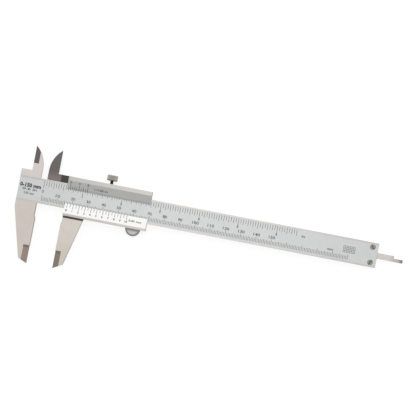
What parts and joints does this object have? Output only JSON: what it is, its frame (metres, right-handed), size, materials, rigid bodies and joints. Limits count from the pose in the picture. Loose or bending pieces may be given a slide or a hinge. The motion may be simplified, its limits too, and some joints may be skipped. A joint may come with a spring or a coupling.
{
  "type": "vernier caliper",
  "caption": "Vernier caliper with outside and inside jaws, a depth rod, a sliding jaw with metric and inch verniers, a lock screw and a thumb rest.",
  "frame": {"origin": "centre of the whole caliper's bounding box at rest, on the plane of the slider's back, which is what it lies on", "axes": "+X along the beam from the jaws to the depth rod, +Y towards the inside jaws, +Z out of the scale face"},
  "size_m": [0.2518, 0.0756, 0.0076],
  "materials": {
    "ground_steel": "ground edges and jaws, with a satin chromed scale face",
    "plate_steel": "ground",
    "rod_steel": "ground",
    "screw_steel": "darkened steel",
    "pin_steel": "ground",
    "stud_steel": "threaded",
    "knurled_steel": "knurled",
    "gib_bronze": "rolled bronze",
    "pad_brass": "turned"
  },
  "bodies": {
    "beam": {"beam": "ground_steel", "end_plate": "plate_steel", "end_screw_lower": "screw_steel", "end_screw_upper": "screw_steel"},
    "slider": {"slider": "ground_steel", "gib_strip": "gib_bronze", "gib_screw_near": "screw_steel", "gib_screw_far": "screw_steel", "depth_rod": "rod_steel", "depth_rod_pin_near": "pin_steel", "depth_rod_pin_far": "pin_steel", "thumb_rest": "knurled_steel", "thumb_rest_pin": "pin_steel"},
    "lock_pad": {"lock_pad": "pad_brass"},
    "lock_screw": {"lock_stud": "stud_steel", "lock_knob": "knurled_steel"}
  },
  "joints": [
    {"name": "slider_slide", "type": "slide", "parent": "beam", "child": "slider", "axis": [1, 0, 0], "range_m": [-0.0171, 0.1405]},
    {"name": "lock_pad_slide", "type": "slide", "parent": "slider", "child": "lock_pad", "axis": [0, 1, 0], "range_m": [-0.0002, 0.0008]},
    {"name": "lock_screw_turn", "type": "hinge", "parent": "lock_pad", "child": "lock_screw", "pos_m": [-0.0677, 0.02622, 0.0034], "axis": [0, 1, 0], "range_deg": [-183, 722]}
  ],
  "couplings": [
    {"joint": "lock_screw_turn", "follows": "lock_pad_slide", "rad_per_m": 15708}
  ]
}
